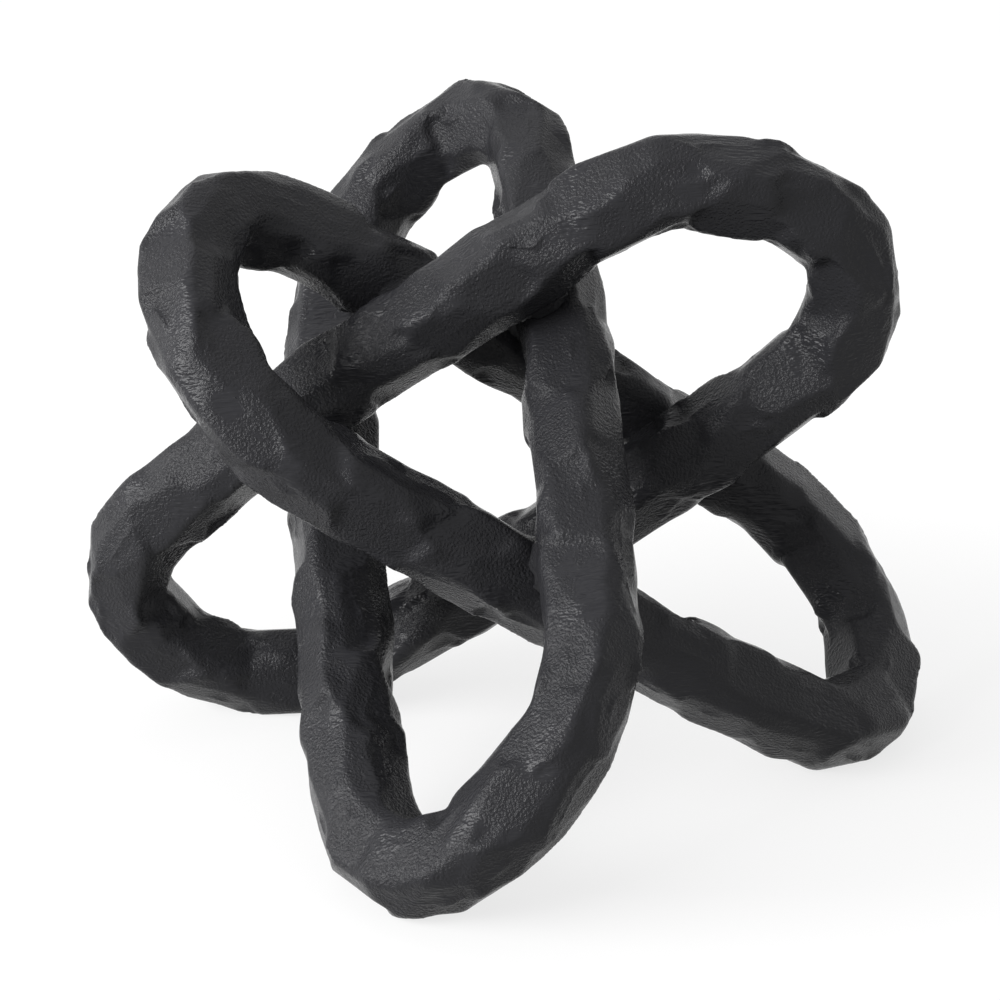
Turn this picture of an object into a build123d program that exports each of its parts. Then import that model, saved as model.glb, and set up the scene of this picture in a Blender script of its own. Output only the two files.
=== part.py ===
# A knot of three chiselled metal links, each link closed from two cast halves.
# Millimetres, Z up, the floor is z = 0, the viewer stands on the -Y side.
import math
import os
import random

from build123d import *

os.makedirs("parts", exist_ok=True)

# Bar: the chiselled section that all three links share
bar_diameter = 27.6        # across the ridges
facet_count = 7            # chiselled sides round the bar
facet_length = 16.5        # mean length of one chisel cut along the bar
facet_stray = 0.14         # how unevenly the cuts are spaced, as a share of their length
facet_hollow = 0.5         # deepest hollow of a cut below its rim
ridge_dip_ratio = 0.10     # how far a ridge may drop below the full radius
ridge_wander = 0.24        # how far a ridge strays round the bar, radians

# Link: an oval of four arcs, measured on the middle line of the bar
link_length = 225.5
link_width = 79.4
side_bow_ratio = 0.067     # how far the lobe radius falls short of half the link width

# Stance of each link: centre, heading of its upper lobe, rise of its long axis,
# bank of its plane and the slant that the hand-made oval has
left_centre = (-7.9, 3.7, 89.9)
left_heading = -7.6
left_rise = 36.0
left_bank = 104.8
left_slant_ratio = -0.196
right_centre = (11.3, -4.4, 83.1)
right_heading = -171.1
right_rise = 32.2
right_bank = 148.0
right_slant_ratio = 0.319
front_centre = (-14.7, -9.2, 88.1)
front_heading = 95.9
front_rise = 34.5
front_bank = 143.4
front_slant_ratio = 0.326

# Joints between the pieces
seam_offset = -17.0        # where the seams sit along the link, below its middle
seam_width = 5.0           # width of the weld that fills the bevelled seam
seam_root_ratio = 0.62     # bar size left at the bottom of the bevel
dowel_diameter = 8.0
dowel_length = 30.0
dowel_clearance = 0.1
dowel_end_room = 0.5       # free depth past each end of a dowel
seat_depth = 0.75          # depth of the flat that each link is ground to where it crosses another
weld_gap = 0.6             # air left between two such flats, filled by the weld
weld_radius = 10.0         # reach of a crossing weld
bead_sides = 10            # flat cuts round a crossing weld
foot_grind = 2.9           # depth ground off each standing lobe


class Oval:
    """Middle line of one link in its own plane, x along the link and y across it."""

    def __init__(self, slant):
        self.half = link_length / 2
        self.width = link_width / 2
        self.slant = slant
        self.lobe = self.width * (1 - side_bow_ratio)
        reach = self.half - self.lobe
        self.side = (self.width**2 + reach**2 - self.lobe**2) / (2 * (self.width - self.lobe))
        self.turn = math.atan2(self.side - self.width, reach)
        self.lobe_run = self.lobe * self.turn
        self.side_run = self.side * (math.pi - 2 * self.turn)
        self.around = 4 * self.lobe_run + 2 * self.side_run

    def point(self, run):
        """Point after a run along the oval, counted from the tip of the upper lobe."""
        run = run % self.around
        sign = 1.0
        if run > self.around / 2:
            run = self.around - run
            sign = -1.0
        if run < self.lobe_run:
            angle = run / self.lobe
            x = self.half - self.lobe + self.lobe * math.cos(angle)
            y = self.lobe * math.sin(angle)
        elif run < self.lobe_run + self.side_run:
            angle = self.turn + (run - self.lobe_run) / self.side
            x = self.side * math.cos(angle)
            y = self.side * math.sin(angle) - (self.side - self.width)
        else:
            angle = math.pi - (self.around / 2 - run) / self.lobe
            x = self.lobe - self.half + self.lobe * math.cos(angle)
            y = self.lobe * math.sin(angle)
        return x + self.slant * sign * y, sign * y

    def run_at(self, x_wanted, sign):
        """Run on the upper (+1) or lower (-1) side where x passes a wanted value."""
        low, high = 0.0, self.around / 2
        for _ in range(60):
            middle = (low + high) / 2
            if self.point(sign * middle)[0] > x_wanted:
                low = middle
            else:
                high = middle
        return sign * low


class Link:
    """One oval placed in space."""

    def __init__(self, name, centre, heading, rise, bank, slant):
        self.name = name
        self.oval = Oval(slant)
        self.centre = Vector(*centre)
        head, up, roll = math.radians(heading), math.radians(rise), math.radians(bank)
        self.long = Vector(math.cos(up) * math.cos(head), math.cos(up) * math.sin(head), math.sin(up))
        level = Vector(0, 0, 1).cross(self.long).normalized()
        above = self.long.cross(level)
        self.short = level * math.cos(roll) + above * math.sin(roll)

    def normal(self):
        return self.long.cross(self.short)

    def place(self, run):
        x, y = self.oval.point(run)
        return self.centre + self.long * x + self.short * y

    def tangent(self, run):
        return (self.place(run + 0.05) - self.place(run - 0.05)).normalized()

    def turn_all(self, axis, angle):
        self.long = self.long.rotate(axis, angle)
        self.short = self.short.rotate(axis, angle)
        self.centre = self.centre.rotate(axis, angle)

    def turn_in_plane(self, angle):
        axis = Axis((0, 0, 0), tuple(self.normal()))
        self.long = self.long.rotate(axis, angle)
        self.short = self.short.rotate(axis, angle)

    def strand(self, sign):
        """Points every millimetre or so along one side, clear of the lobe tips."""
        start = self.oval.lobe_run
        count = int(self.oval.side_run / 1.2)
        return [self.place(sign * (start + self.oval.side_run * i / count)) for i in range(count + 1)]

    def lowest(self):
        count = 720
        points = [self.place(self.oval.around * i / count) for i in range(count)]
        return min(points, key=lambda p: p.Z)


def nearest(first, second):
    """Closest pair of points of two strands."""
    best = None
    for p in first:
        for q in second:
            gap = (p.X - q.X) ** 2 + (p.Y - q.Y) ** 2 + (p.Z - q.Z) ** 2
            if best is None or gap < best[0]:
                best = (gap, p, q)
    return math.sqrt(best[0]), best[1], best[2]


left = Link("left", left_centre, left_heading, left_rise, left_bank, left_slant_ratio)
right = Link("right", right_centre, right_heading, right_rise, right_bank, right_slant_ratio)
front = Link("front", front_centre, front_heading, front_rise, front_bank, front_slant_ratio)
links = [left, right, front]

# Each outer link lies with its upper side on both sides of the link that passes through it
seats = [(right, left), (left, front), (front, right)]
touch = bar_diameter + weld_gap - 2 * seat_depth
for _ in range(14):
    for outer, inner in seats:
        ahead, p, q = nearest(outer.strand(1), inner.strand(1))
        behind, r, s = nearest(outer.strand(1), inner.strand(-1))
        spread = (p - r).length
        outer.centre = outer.centre - outer.short * ((ahead + behind) / 2 - touch)
        outer.turn_in_plane(-math.degrees((ahead - behind) / spread))

# Stand the knot on its three lowest lobes
for _ in range(6):
    a, b, c = left.lowest(), right.lowest(), front.lowest()
    up = (b - a).cross(c - a).normalized()
    if up.Z < 0:
        up = up * -1
    lean = up.cross(Vector(0, 0, 1))
    if lean.length > 1e-7:
        axis = Axis((0, 0, 0), tuple(lean))
        for link in links:
            link.turn_all(axis, math.degrees(math.asin(min(1.0, lean.length))))
drop = sum(link.lowest().Z for link in links) / 3 - (bar_diameter / 2 - foot_grind)
for link in links:
    link.centre = link.centre - Vector(0, 0, drop)


# Middle of each crossing and the way from one link to the other
crossings = {link.name: [] for link in links}
for outer, inner in seats:
    for sign in (1, -1):
        gap, p, q = nearest(outer.strand(1), inner.strand(sign))
        crossings[outer.name].append(((p + q) / 2, (q - p).normalized()))
        crossings[inner.name].append(((p + q) / 2, (p - q).normalized()))


def seated(link, point):
    """Brings a point that stands proud of a crossing back to the flat ground there."""
    for middle, toward in crossings[link.name]:
        proud = (point - middle).dot(toward) + weld_gap / 2
        if proud > 0 and (point - middle).length < bar_diameter:
            point = point - toward * proud
    return point


def ring(link, run, corners, scale=1.0):
    """Corner points of the chiselled section at a run along the link."""
    along = link.tangent(run)
    across = link.normal()
    out = along.cross(across)
    middle = link.place(run)
    return [
        seated(link, middle + (out * math.cos(angle) + across * math.sin(angle)) * (radius * scale))
        for angle, radius in corners
    ]


def chiselled(dice):
    """Angles and radii of one section: ridges wander round the bar and dip below full size."""
    step = 2 * math.pi / facet_count
    corners = []
    for j in range(facet_count):
        angle = j * step + dice.uniform(-ridge_wander, ridge_wander)
        radius = bar_diameter / 2 * (1 - ridge_dip_ratio * dice.random())
        corners.append((angle, radius))
    return corners


def flat(points):
    return Face(Wire.make_polygon([tuple(p) for p in points], close=True))


def strip(first, second):
    """Flat chisel cuts between two sections, split along the diagonal that leaves a ridge."""
    faces = []
    count = len(first)
    inside = sum(first + second, Vector(0, 0, 0)) / (2 * count)
    for j in range(count):
        a, b = first[j], first[(j + 1) % count]
        c, d = second[(j + 1) % count], second[j]
        if ((a + c) / 2 - inside).length > ((b + d) / 2 - inside).length:
            faces += [flat([a, b, c]), flat([a, c, d])]
        else:
            faces += [flat([a, b, d]), flat([b, c, d])]
    return faces


def cut(outline, middle, dice):
    """One hollow chisel cut: flat pieces from its outline down to a point below its middle."""
    count = len(outline)
    centre = sum(outline, Vector(0, 0, 0)) / count
    inward = (middle - centre).normalized()
    centre = centre + inward * (facet_hollow * dice.uniform(0.4, 1.0))
    return [flat([outline[i], outline[(i + 1) % count], centre]) for i in range(count)]


def chisel_cuts(link, runs, rings, dice):
    """Rows of cuts along the bar, each row half a cut ahead of its neighbour."""
    faces = []
    last = len(rings) - 1
    for row in range(facet_count):
        beside = (row + 1) % facet_count
        starts = [0] + [m for m in range(1, last) if (m + row) % 2 == 0]
        ends = starts[1:] + [last]
        for begin, end in zip(starts, ends):
            outline = [rings[m][row] for m in range(begin, end + 1)]
            outline += [rings[m][beside] for m in range(end, begin - 1, -1)]
            faces += cut(outline, link.place((runs[begin] + runs[end]) / 2), dice)
    return faces


def closed(faces):
    solid = Solid(Shell(faces))
    return solid if solid.volume > 0 else Solid(Shell([-f for f in faces]))


def biggest(shape):
    return max(shape.solids(), key=lambda s: s.volume)


def bead(middle, axis, dice):
    """A weld bead dressed with the chisel: a ball of flat cuts round an axis."""
    plane = Plane(origin=tuple(middle), z_dir=tuple(axis))
    rings = []
    for height in (-0.9, -0.42, 0.42, 0.9):
        girth = weld_radius * math.sqrt(1 - height**2)
        loop = []
        for j in range(bead_sides):
            angle = 2 * math.pi * j / bead_sides
            reach = girth * dice.uniform(0.92, 1.0)
            loop.append(plane.from_local_coords(
                Vector(reach * math.cos(angle), reach * math.sin(angle), weld_radius * height)))
        rings.append(loop)
    faces = [flat(rings[0]), flat(rings[-1])]
    for one, two in zip(rings, rings[1:]):
        faces += strip(one, two)
    return closed(faces)


def dowel(link, run, diameter, length):
    plane = Plane(origin=tuple(link.place(run)), z_dir=tuple(link.tangent(run)))
    return plane * Cylinder(diameter / 2, length)


def make_link(link, seed):
    """Two cast halves, two dowels and two seam welds of one link."""
    dice = random.Random(seed)
    oval = link.oval
    front_seam = oval.run_at(seam_offset, 1)
    back_seam = oval.around + oval.run_at(seam_offset, -1)
    seams = {"plus": front_seam, "minus": back_seam}
    spans = {"lower": (front_seam, back_seam), "upper": (back_seam, front_seam + oval.around)}
    bevel = seam_width / 2
    at_seam = {"plus": chiselled(dice), "minus": chiselled(dice)}
    beside = {}
    halves = {}
    for half, (start, end) in spans.items():
        first, last = ("plus", "minus") if half == "lower" else ("minus", "plus")
        count = max(2, round((end - start - seam_width) / (facet_length / 2)))
        runs = [start + bevel + (end - start - seam_width) * i / count for i in range(count + 1)]
        sections = [chiselled(dice) for _ in runs]
        sections[0] = at_seam[first]
        sections[-1] = at_seam[last]
        beside[(first, half)] = ring(link, runs[0], sections[0])
        beside[(last, half)] = ring(link, runs[-1], sections[-1])
        slack = facet_length * facet_stray
        for i in range(1, count):
            runs[i] += dice.uniform(-slack, slack)
        rings = [ring(link, run, section) for run, section in zip(runs, sections)]
        root_in = ring(link, start, at_seam[first], seam_root_ratio)
        root_out = ring(link, end, at_seam[last], seam_root_ratio)
        faces = [flat(root_in), flat(root_out)]
        faces += strip(root_in, rings[0]) + strip(rings[-1], root_out)
        faces += chisel_cuts(link, runs, rings, dice)
        body = closed(faces)
        for run in seams.values():
            hole_length = dowel_length + 2 * dowel_end_room
            body = body - dowel(link, run, dowel_diameter + dowel_clearance, hole_length)
        floor = Pos(0, 0, -bar_diameter) * Box(4 * link_length, 4 * link_length, 2 * bar_diameter)
        halves[half] = biggest(body - floor)
    dowels = {}
    welds = {}
    for side, run in seams.items():
        dowels[side] = dowel(link, run, dowel_diameter, dowel_length).solid()
        before, after = ("upper", "lower") if side == "plus" else ("lower", "upper")
        outer = ring(link, run, at_seam[side])
        inner = ring(link, run, at_seam[side], seam_root_ratio)
        one, two = beside[(side, before)], beside[(side, after)]
        welds[side] = closed(strip(one, outer) + strip(outer, two) + strip(one, inner) + strip(inner, two))
    return halves, dowels, welds


side_names = {
    "left": {"plus": "top", "minus": "bottom"},
    "right": {"plus": "top", "minus": "bottom"},
    "front": {"plus": "right", "minus": "left"},
}
nodes = {}
bodies = {}
for seed, link in enumerate(links, start=3):
    halves, dowels, welds = make_link(link, seed)
    for half, solid in halves.items():
        nodes[f"{link.name}_link_{half}_half"] = solid
    for side in ("plus", "minus"):
        word = side_names[link.name][side]
        nodes[f"{link.name}_link_{word}_dowel"] = dowels[side]
        nodes[f"{link.name}_link_{word}_seam_weld"] = welds[side]
    bodies[link.name] = list(halves.values()) + list(welds.values())

bead_dice = random.Random(11)
beads = []
for outer, inner in seats:
    for side, sign in (("plus", 1), ("minus", -1)):
        gap, p, q = nearest(outer.strand(1), inner.strand(sign))
        nugget = bead((p + q) / 2, p - q, bead_dice)
        for body in sum(bodies.values(), []) + beads:
            nugget = nugget - body
        beads.append(biggest(nugget))
        over = side_names[outer.name]["plus"]
        under = side_names[inner.name][side]
        nodes[f"crossing_weld_{outer.name}_{over}_{inner.name}_{under}"] = beads[-1]
        print("contact", outer.name, inner.name, side, round(gap, 2))

box = Compound(list(nodes.values())).bounding_box()
shift = Pos(-(box.min.X + box.max.X) / 2, -(box.min.Y + box.max.Y) / 2, 0)
for name, solid in nodes.items():
    export_step(shift * solid, f"parts/{name}.step")
print("box", box.size, "shift", shift.position)
for link in links:
    print(link.name, link.centre, "long", link.long, "short", link.short)
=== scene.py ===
# %% [markdown]
# # A knot of three chiselled links, coated satin black
#
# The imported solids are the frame. This script gives each one the surface that a foundry and a chisel
# leave: irregular flat cuts, ridges worn soft, and a fine cast grain under a satin black coat.

# %% Load the frame
import math

import bmesh
import bpy
import numpy as np
from mathutils import Matrix, Vector, kdtree


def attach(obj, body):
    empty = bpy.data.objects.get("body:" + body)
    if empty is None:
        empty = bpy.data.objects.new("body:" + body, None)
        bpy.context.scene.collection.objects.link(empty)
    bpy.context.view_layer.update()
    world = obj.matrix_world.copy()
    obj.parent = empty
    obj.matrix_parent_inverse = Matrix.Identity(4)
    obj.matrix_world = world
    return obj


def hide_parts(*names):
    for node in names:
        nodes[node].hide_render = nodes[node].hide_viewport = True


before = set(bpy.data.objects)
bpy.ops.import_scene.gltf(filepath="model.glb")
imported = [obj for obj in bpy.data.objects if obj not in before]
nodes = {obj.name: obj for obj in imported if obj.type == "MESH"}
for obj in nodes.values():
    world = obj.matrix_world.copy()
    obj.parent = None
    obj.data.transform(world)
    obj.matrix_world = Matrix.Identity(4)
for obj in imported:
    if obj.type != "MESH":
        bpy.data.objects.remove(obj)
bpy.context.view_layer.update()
scene = bpy.context.scene
MM = 0.001
print("loaded", len(nodes), "nodes")

# %% [markdown]
# ## Materials
#
# The coat is one thin black layer over everything, so castings and welds share one recipe. Colours are
# written as the eye reads them and turned into the linear values that the shader needs. Texture sizes are
# written in millimetres and turned into noise scales.


# %% Material helpers
def linear(hex_colour):
    """Linear colour with alpha from an sRGB hex value."""
    channels = [int(hex_colour[i : i + 2], 16) / 255 for i in (1, 3, 5)]
    return [c / 12.92 if c <= 0.04045 else ((c + 0.055) / 1.055) ** 2.4 for c in channels] + [1.0]


def add_node(tree, kind, links=(), **values):
    """Adds a shader node, sets its plain settings and sockets, and links other nodes into it."""
    node = tree.nodes.new(kind)
    for name, value in values.items():
        setattr(node, name, value)
    for socket, source in links:
        if hasattr(source, "is_output"):
            tree.links.new(source, node.inputs[socket])
        else:
            node.inputs[socket].default_value = source
    return node


def new_material(name):
    """An empty node material and its tree."""
    material = bpy.data.materials.new(name)
    material.use_nodes = True
    tree = material.node_tree
    tree.nodes.clear()
    return material, tree


def per_metre(feature_mm):
    """Noise scale for a feature of this size."""
    return 1.0 / (feature_mm * MM)


# %% [markdown]
# ### The coat
#
# Cast grain covers most of the skin. In places, chosen by a slow blotch noise, file strokes take its place:
# the same kind of noise, drawn out along one direction. The blotch also varies colour and gloss a little,
# so that no cut is quite like the next. A low specular level keeps the white surroundings from washing out
# the black.

# %% Coat values
casting_grain_mm = 0.75
weld_grain_mm = 1.3
blotch_mm = 14.0
stroke_mm = 0.8
stroke_turn = (0.5, 0.9, 0.3)
stroke_stretch = (0.16, 1.0, 1.0)
filed_from = 0.52          # blotch value where file strokes begin to show
filed_full = 0.60          # blotch value where they have replaced the grain
noise_roughness = 0.55
relief_depth = 0.50 * MM
shiniest = 0.17            # roughness of the shiniest patches
dullest = 0.24             # roughness of the dullest patches
specular_level = 0.13


# %% Satin black coat over cast metal
def make_coat(name, dark, pale, grain_mm):
    """Thin black coat: cast grain, file strokes in places and soft blotches."""
    material, tree = new_material(name)
    place = add_node(tree, "ShaderNodeTexCoord").outputs["Object"]
    blotch = add_node(tree, "ShaderNodeTexNoise", [
        ("Vector", place), ("Scale", per_metre(blotch_mm)), ("Detail", 3.0), ("Roughness", noise_roughness)])
    grain = add_node(tree, "ShaderNodeTexNoise", [
        ("Vector", place), ("Scale", per_metre(grain_mm)), ("Detail", 2.0), ("Roughness", noise_roughness)])
    along = add_node(tree, "ShaderNodeMapping", [
        ("Vector", place), ("Rotation", stroke_turn), ("Scale", stroke_stretch)])
    strokes = add_node(tree, "ShaderNodeTexNoise", [
        ("Vector", along.outputs["Vector"]), ("Scale", per_metre(stroke_mm)), ("Detail", 1.0)])
    filed = add_node(tree, "ShaderNodeMapRange", [
        ("Value", blotch.outputs["Fac"]), ("From Min", filed_from), ("From Max", filed_full)])
    relief = add_node(tree, "ShaderNodeMix", [
        ("Factor", filed.outputs["Result"]), ("A", grain.outputs["Fac"]), ("B", strokes.outputs["Fac"])])
    bump = add_node(tree, "ShaderNodeBump", [
        ("Height", relief.outputs["Result"]), ("Strength", 1.0), ("Distance", relief_depth)])
    colour = add_node(tree, "ShaderNodeMix", [
        ("Factor", blotch.outputs["Fac"]), ("A", linear(dark)), ("B", linear(pale))], data_type="RGBA")
    gloss = add_node(tree, "ShaderNodeMapRange", [
        ("Value", blotch.outputs["Fac"]), ("From Min", 0.3), ("From Max", 0.7),
        ("To Min", shiniest), ("To Max", dullest)])
    skin = add_node(tree, "ShaderNodeBsdfPrincipled", [
        ("Base Color", colour.outputs["Result"]), ("Roughness", gloss.outputs["Result"]),
        ("Normal", bump.outputs["Normal"]), ("IOR", 1.5), ("Specular IOR Level", specular_level)])
    add_node(tree, "ShaderNodeOutputMaterial", [("Surface", skin.outputs["BSDF"])])
    return material


coat = make_coat("black coated cast aluminium", "#242426", "#2c2c2f", casting_grain_mm)
weld_coat = make_coat("black coated weld", "#222224", "#2a2a2c", weld_grain_mm)
print("coats", coat.name, "and", weld_coat.name)

# %% [markdown]
# ### The dowels
#
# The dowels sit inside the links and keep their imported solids. They are bare steel.

# %% Bare dowel steel
steel, steel_tree = new_material("dowel steel")
steel_skin = add_node(steel_tree, "ShaderNodeBsdfPrincipled", [
    ("Base Color", linear("#b9babd")), ("Metallic", 1.0), ("Roughness", 0.35)])
add_node(steel_tree, "ShaderNodeOutputMaterial", [("Surface", steel_skin.outputs["BSDF"])])
for name, node in nodes.items():
    if name.endswith("dowel"):
        node.data.materials.clear()
        node.data.materials.append(steel)
print("material", steel.name)

# %% [markdown]
# ## Skins
#
# The halves, seam welds and dowels of a link are merged into one closed skin, because the real seams are
# dressed flush and coated over. The skin gets an even mesh, is softened and then chiselled. Last, it is cut
# again into one piece per solid, so that every piece still stands for its own node.

# %% Skin sizes
link_voxel_mm = 0.9
link_soft_rounds = 8
weld_voxel_mm = 0.5
weld_soft_rounds = 3
soft_factor = 0.5
cut_size = 15.0 * MM       # spacing of the chisel cuts
cut_reach = 4.0 * MM       # how much skin round a cut's middle sets its plane
cut_tilt = 0.08            # how unevenly the chisel was held
cut_share = 0.90           # how flat a cut is
cut_seeds = {"left": 4, "right": 5, "front": 5}
same_side = 0.2            # skin that faces further away than this belongs to the other side of the bar
least_lean = 0.5           # steepest angle, as a cosine, at which a plane is still followed in full
ridge_blend = 3.3 * MM     # softness of the ridge between two cuts
deepest = 1.2 * MM         # most that a cut may move the skin
coat_build = 0.12 * MM     # what the coat adds
wear_rounds = 2            # how far the chiselled ridges are worn round
seam_reach = 20 * MM       # a seam weld lies within this distance of its middle
seam_half_width = 2.5 * MM
batch = 4000               # points worked on at a time, to keep the arrays small


# %% Mesh helpers
def merged(name, names):
    """One object from the solids of several nodes."""
    shape = bmesh.new()
    for node in names:
        shape.from_mesh(nodes[node].data)
    mesh = bpy.data.meshes.new(name)
    shape.to_mesh(mesh)
    shape.free()
    piece = bpy.data.objects.new(name, mesh)
    scene.collection.objects.link(piece)
    return piece


def softened(piece, voxel_mm, rounds):
    """Even mesh over the piece with its ridges worn round."""
    remesh = piece.modifiers.new("even mesh", "REMESH")
    remesh.mode = "VOXEL"
    remesh.voxel_size = voxel_mm * MM
    wear = piece.modifiers.new("worn ridges", "SMOOTH")
    wear.factor = soft_factor
    wear.iterations = rounds
    graph = bpy.context.evaluated_depsgraph_get()
    mesh = bpy.data.meshes.new_from_object(piece.evaluated_get(graph))
    bpy.data.objects.remove(piece)
    return mesh


def largest_shell(mesh):
    """Points and faces of the outer shell, without the small shells round the dowels."""
    count = len(mesh.vertices)
    points = np.zeros(count * 3)
    mesh.vertices.foreach_get("co", points)
    points = points.reshape(-1, 3)
    faces = [tuple(p.vertices) for p in mesh.polygons]
    parent = list(range(count))

    def root(i):
        while parent[i] != i:
            parent[i] = parent[parent[i]]
            i = parent[i]
        return i

    for face in faces:
        first = root(face[0])
        for other in face[1:]:
            parent[root(other)] = first
    roots = np.array([root(i) for i in range(count)])
    names, sizes = np.unique(roots, return_counts=True)
    keep = roots == names[sizes.argmax()]
    new_index = np.cumsum(keep) - 1
    kept_faces = [[int(new_index[i]) for i in face] for face in faces if keep[face[0]]]
    return points[keep], kept_faces


def as_quads(faces):
    """Four corners for every face; a triangle repeats its last corner."""
    return np.array([face[:4] if len(face) > 3 else [*face, face[2]] for face in faces])


# %% [markdown]
# ### Chisel cuts
#
# Points about one cut apart are chosen on the skin. Each gets a plane through the skin around it, tilted a
# little by chance. Every point of the skin then moves along its normal towards the plane of the nearest cut.
# Near a border two planes share the point, which leaves a soft ridge. The cuts are real geometry, so they
# show in the outline too.


# %% Chisel
def point_normals(points, quads):
    """Outward direction at each point, from the faces round it."""
    across = np.cross(points[quads[:, 2]] - points[quads[:, 0]], points[quads[:, 3]] - points[quads[:, 1]])
    normals = np.zeros_like(points)
    for corner in range(4):
        np.add.at(normals, quads[:, corner], across)
    return normals / np.linalg.norm(normals, axis=1, keepdims=True)


def worn(points, quads, rounds):
    """Moves each point half way to the middle of its faces, a few times over."""
    count = np.bincount(quads.ravel(), minlength=len(points))[:, None]
    for _ in range(rounds):
        middles = points[quads].mean(1)
        total = np.zeros_like(points)
        for corner in range(4):
            np.add.at(total, quads[:, corner], middles)
        points = (points + total / count) / 2
    return points


def spread_out(points, spacing):
    """Points of the skin about this far apart, each the farthest from those already chosen."""
    chosen = [0]
    nearest = np.linalg.norm(points - points[0], axis=1)
    while nearest.max() > spacing:
        chosen.append(int(nearest.argmax()))
        nearest = np.minimum(nearest, np.linalg.norm(points - points[chosen[-1]], axis=1))
    return chosen


def cut_planes(points, normals, dice):
    """Middle and facing of the plane of each cut."""
    middles = []
    facings = []
    for index in spread_out(points, cut_size):
        weight = np.exp(-((points - points[index]) ** 2).sum(1) / (2 * cut_reach**2))
        weight = weight * (normals @ normals[index] > same_side)
        weight = weight / weight.sum()
        facing = weight @ normals
        facing = facing / np.linalg.norm(facing) + dice.normal(0, cut_tilt, 3)
        middles.append(weight @ points)
        facings.append(facing / np.linalg.norm(facing))
    return np.array(middles), np.array(facings)


def chisel(points, faces, seed):
    """Flattens the skin towards one plane per cut, lays the coat over it and keeps the feet on the floor."""
    quads = as_quads(faces)
    normals = point_normals(points, quads)
    middles, facings = cut_planes(points, normals, np.random.default_rng(seed))
    moved = points.copy()
    for start in range(0, len(points), batch):
        part = slice(start, start + batch)
        agree = normals[part] @ facings.T
        apart = ((points[part, None] - middles[None]) ** 2).sum(2) + (1 - agree) * cut_size**2
        offset = middles[None] - points[part, None]
        height = (offset * facings[None]).sum(2) / np.maximum(agree, least_lean)
        share = np.exp(-(apart - apart.min(1, keepdims=True)) / (2 * ridge_blend**2))
        lift = (share * np.clip(height, -deepest, deepest)).sum(1) / share.sum(1)
        moved[part] += normals[part] * (cut_share * lift + coat_build)[:, None]
    moved = worn(moved, quads, wear_rounds)
    moved[:, 2] = np.maximum(moved[:, 2], 0.0)
    return moved


# %% [markdown]
# ### One piece per node
#
# A face within a seam's width belongs to that seam weld. Any other face belongs to the half whose packed
# solid has the nearest corner.


# %% Piece helpers
def add_piece(name, points, faces, material, node):
    """A smooth piece that rides on the body and stands for one node."""
    mesh = bpy.data.meshes.new(name)
    mesh.from_pydata([tuple(p) for p in points], [], faces)
    mesh.polygons.foreach_set("use_smooth", [True] * len(mesh.polygons))
    mesh.materials.append(material)
    piece = bpy.data.objects.new(name, mesh)
    scene.collection.objects.link(piece)
    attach(piece, "root")
    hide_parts(node)


def seam_plane(node):
    """Middle and normal of the flat ring that a seam weld is."""
    points = np.array([v.co for v in nodes[node].data.vertices])
    centre = points.mean(0)
    spread = np.linalg.svd(points - centre, full_matrices=False)[2]
    return centre, spread[2]


def nearest_half(halves):
    """A search tree over the corners of two halves, and the number of the half that each belongs to."""
    tree = kdtree.KDTree(sum(len(nodes[half].data.vertices) for half in halves))
    owner = []
    for number, half in enumerate(halves):
        for vertex in nodes[half].data.vertices:
            tree.insert(vertex.co, len(owner))
            owner.append(number)
    tree.balance()
    return tree, owner


# %% Link skins
def make_link(link, sides):
    """Skin of one link as four pieces: two seam welds and two halves."""
    halves = [f"{link}_link_upper_half", f"{link}_link_lower_half"]
    seams = [f"{link}_link_{side}_seam_weld" for side in sides]
    dowels = [f"{link}_link_{side}_dowel" for side in sides]
    mesh = softened(merged(f"{link}_skin", halves + seams + dowels), link_voxel_mm, link_soft_rounds)
    points, faces = largest_shell(mesh)
    points = chisel(points, faces, cut_seeds[link])
    bpy.data.meshes.remove(mesh)
    middles = np.array([points[face].mean(0) for face in faces])
    label = np.full(len(faces), -1)
    for number, seam in enumerate(seams):
        centre, normal = seam_plane(seam)
        offset = middles - centre
        near = np.linalg.norm(offset, axis=1) < seam_reach
        label[near & (abs(offset @ normal) < seam_half_width)] = number
    tree, owner = nearest_half(halves)
    for i in np.where(label < 0)[0]:
        label[i] = len(seams) + owner[tree.find(Vector(middles[i]))[1]]
    for number, node in enumerate(seams + halves):
        chosen = [faces[i] for i in np.where(label == number)[0]]
        used = sorted(set(i for face in chosen for i in face))
        index = {old: new for new, old in enumerate(used)}
        local = [[index[i] for i in face] for face in chosen]
        add_piece(node + "_skin", points[used], local, coat, node)
    print(link, "link skin", len(points), "points")


link_sides = {"left": ("top", "bottom"), "right": ("top", "bottom"), "front": ("right", "left")}
for link, sides in link_sides.items():
    make_link(link, sides)

# %% [markdown]
# ### Crossing welds
#
# The beads between the links are small, so a finer mesh and a little softening are enough.

# %% Crossing weld skins
crossing_welds = sorted(n for n in nodes if n.startswith("crossing_weld"))
for node in crossing_welds:
    mesh = softened(merged(node + "_skin", [node]), weld_voxel_mm, weld_soft_rounds)
    points, faces = largest_shell(mesh)
    bpy.data.meshes.remove(mesh)
    add_piece(node + "_skin", points, faces, weld_coat, node)
print("crossing welds", len(crossing_welds))
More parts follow.
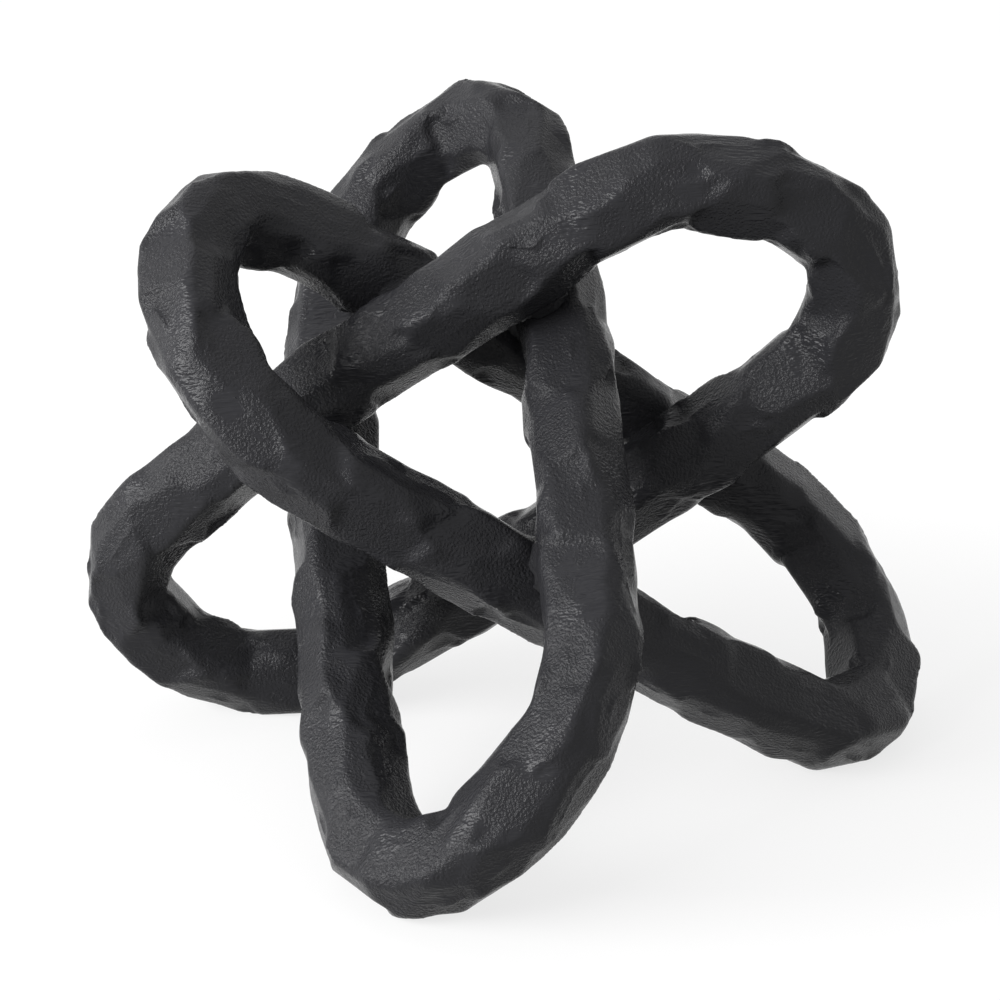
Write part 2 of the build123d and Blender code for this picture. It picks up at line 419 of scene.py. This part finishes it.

# %% [markdown]
# ## Floor, light and camera
#
# The white comes from the paper and the world as the camera sees them, also in reflections, and not from
# more light on the object. Near the object the paper's glow is turned down, a painted shadow; its diffuse
# part keeps the real shadow.

# %% Floor
floor_reach = 4.0
paper_colour = (0.22, 0.22, 0.22, 1.0)
# Painted shadow: the paper's glow is lowered near the middle, under the object, and rises to plain white
# farther out.
painted_shadow_white = 0.755         # glow of the paper under the object
far_white = 0.87           # glow of the paper away from it
painted_shadow_reach = 0.10
painted_shadow_edge = 0.32
floor_mesh = bpy.data.meshes.new("floor")
floor_corners = [(-1, -1), (1, -1), (1, 1), (-1, 1)]
floor_points = [(x * floor_reach, y * floor_reach, 0) for x, y in floor_corners]
floor_mesh.from_pydata(floor_points, [], [(0, 1, 2, 3)])
floor = bpy.data.objects.new("floor", floor_mesh)
scene.collection.objects.link(floor)
paper, paper_tree = new_material("white paper sweep")


def seen_directly(tree):
    """1 for what the camera sees, straight or in a mirror or through glass, else 0."""
    path = add_node(tree, "ShaderNodeLightPath")
    shiny = add_node(tree, "ShaderNodeMath", [
        (0, path.outputs["Is Glossy Ray"]), (1, path.outputs["Is Transmission Ray"])], operation="MAXIMUM")
    return add_node(tree, "ShaderNodeMath", [
        (0, path.outputs["Is Camera Ray"]), (1, shiny.outputs[0])], operation="MAXIMUM").outputs[0]


paper_seen = seen_directly(paper_tree)
paper_place = add_node(paper_tree, "ShaderNodeTexCoord").outputs["Object"]
paper_far = add_node(paper_tree, "ShaderNodeVectorMath", [(0, paper_place)], operation="LENGTH")
# Painted shadow: the glow ramps from the darker value near the object to the plain white farther out.
paper_white_with_painted_shadow = add_node(paper_tree, "ShaderNodeMapRange", [
    ("Value", paper_far.outputs["Value"]), ("From Min", painted_shadow_reach), ("From Max", painted_shadow_edge),
    ("To Min", painted_shadow_white), ("To Max", far_white)], interpolation_type="SMOOTHSTEP")
paper_glow_with_painted_shadow = add_node(paper_tree, "ShaderNodeMath", [
    (0, paper_seen), (1, paper_white_with_painted_shadow.outputs["Result"])], operation="MULTIPLY")
paper_light = add_node(paper_tree, "ShaderNodeEmission", [("Strength", paper_glow_with_painted_shadow.outputs[0])])
paper_skin = add_node(paper_tree, "ShaderNodeBsdfDiffuse", [("Color", paper_colour)])
paper_both = add_node(paper_tree, "ShaderNodeAddShader", [
    (0, paper_light.outputs[0]), (1, paper_skin.outputs["BSDF"])])
add_node(paper_tree, "ShaderNodeOutputMaterial", [("Surface", paper_both.outputs[0])])
floor_mesh.materials.append(paper)
print("floor", paper.name)

# %% World
sky_light = 0.60           # what the world adds to the light on the object
sky_white = 1.0            # how white it looks
world = bpy.data.worlds.new("studio")
world.use_nodes = True
scene.world = world
sky_tree = world.node_tree
sky_tree.nodes.clear()
sky_seen = seen_directly(sky_tree)
strength = add_node(sky_tree, "ShaderNodeMapRange", [
    ("Value", sky_seen), ("To Min", sky_light), ("To Max", sky_white)])
sky = add_node(sky_tree, "ShaderNodeBackground", [
    ("Color", (1.0, 1.0, 1.0, 1.0)), ("Strength", strength.outputs["Result"])])
add_node(sky_tree, "ShaderNodeOutputWorld", [("Surface", sky.outputs["Background"])])
print("world", world.name)

# %% [markdown]
# ### Lights
#
# One wide softbox to the left and a little in front lights the cuts that face it, as in the photo. A weak
# one above keeps the tops from going flat.

# %% Lights
light_target = (0, 0, 0.09)


def add_softbox(name, place, width, height, watts):
    """A rectangular area light that faces the middle of the object."""
    data = bpy.data.lights.new(name, "AREA")
    data.shape = "RECTANGLE"
    data.size = width
    data.size_y = height
    data.energy = watts
    light = bpy.data.objects.new(name, data)
    light.location = place
    light.rotation_euler = (Vector(light_target) - Vector(place)).to_track_quat("-Z", "Y").to_euler()
    scene.collection.objects.link(light)


add_softbox("left softbox", (-0.95, -0.45, 0.5), 0.9, 0.5, 21)
add_softbox("top softbox", (-0.2, 0.3, 1.2), 0.7, 0.7, 0.8)

# %% [markdown]
# ### Camera
#
# The camera looks down at the knot from the front with a long lens. Its place and lens were fitted to the
# outline of the links in the photo.

# %% Camera
tilt = math.radians(21.85)
roll = math.radians(-0.59)
distance_mm = 649.6
focal_px = 2322.2
picture_px = 1000
sensor_mm = 36.0
aim_mm = Vector((-0.35, 8.97, 72.17))
forward = Vector((0, math.cos(tilt), -math.sin(tilt)))
right = Vector((1, 0, 0))
up = right.cross(forward)
right, up = right * math.cos(roll) + up * math.sin(roll), up * math.cos(roll) - right * math.sin(roll)
lens = bpy.data.cameras.new("camera")
lens.sensor_width = sensor_mm
lens.lens = sensor_mm * focal_px / picture_px
camera = bpy.data.objects.new("camera", lens)
eye = (aim_mm - forward * distance_mm) * MM
camera.matrix_world = Matrix(
    ((right.x, up.x, -forward.x, eye.x), (right.y, up.y, -forward.y, eye.y),
     (right.z, up.z, -forward.z, eye.z), (0, 0, 0, 1)))
scene.collection.objects.link(camera)
scene.camera = camera
scene.view_settings.view_transform = "Standard"
print("camera lens", round(lens.lens, 2), "mm")
